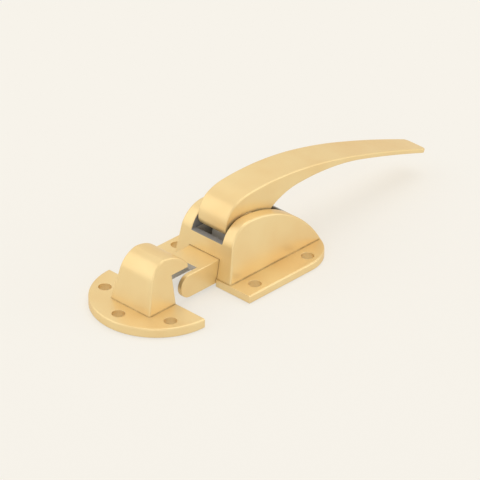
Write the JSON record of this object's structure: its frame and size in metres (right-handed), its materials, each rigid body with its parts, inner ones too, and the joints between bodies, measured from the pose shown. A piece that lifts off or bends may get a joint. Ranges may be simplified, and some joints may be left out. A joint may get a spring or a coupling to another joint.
{
  "type": "icebox latch",
  "caption": "Cast brass surface latch with an arched pull lever, a spring bolt and a half-round hooked strike, for an icebox or cold-room door.",
  "frame": {"origin": "middle of the latch's four screw holes, on the face that goes against the door", "axes": "+X along the latch towards the lever's tip, +Y across it, +Z out from the door"},
  "size_m": [0.1343, 0.04, 0.026],
  "materials": {
    "cast_brass": "polished and lightly lacquered casting",
    "plate_steel": "zinc plated sheet",
    "pin_steel": "ground pin",
    "spring_steel": "drawn wire",
    "screw_steel": "plated machine screw"
  },
  "bodies": {
    "latch": {"latch_housing": "cast_brass", "back_plate": "plate_steel", "lever_pivot_pin": "pin_steel", "spring_guide_rod": "pin_steel", "bolt_spring": "spring_steel", "strike": "cast_brass", "plate_screw_1": "screw_steel", "plate_screw_2": "screw_steel", "plate_screw_3": "screw_steel", "plate_screw_4": "screw_steel"},
    "lever": {"lever_handle": "cast_brass"},
    "bolt": {"latch_bolt": "cast_brass", "bolt_drive_pin": "pin_steel"}
  },
  "joints": [
    {"name": "lever_pivot", "type": "hinge", "parent": "latch", "child": "lever", "pos_m": [-0.0044, 0, 0.0155], "axis": [0, -1, 0], "range_deg": [0, 25], "stiffness_Nm_per_rad": 0.0955, "springref_deg": -31.51},
    {"name": "bolt_slide", "type": "slide", "parent": "latch", "child": "bolt", "axis": [1, 0, 0], "range_m": [0, 0.0048], "deforming": ["bolt_spring"]}
  ],
  "couplings": [
    {"joint": "bolt_slide", "follows": "lever_pivot", "m_per_rad": 0.010924}
  ]
}
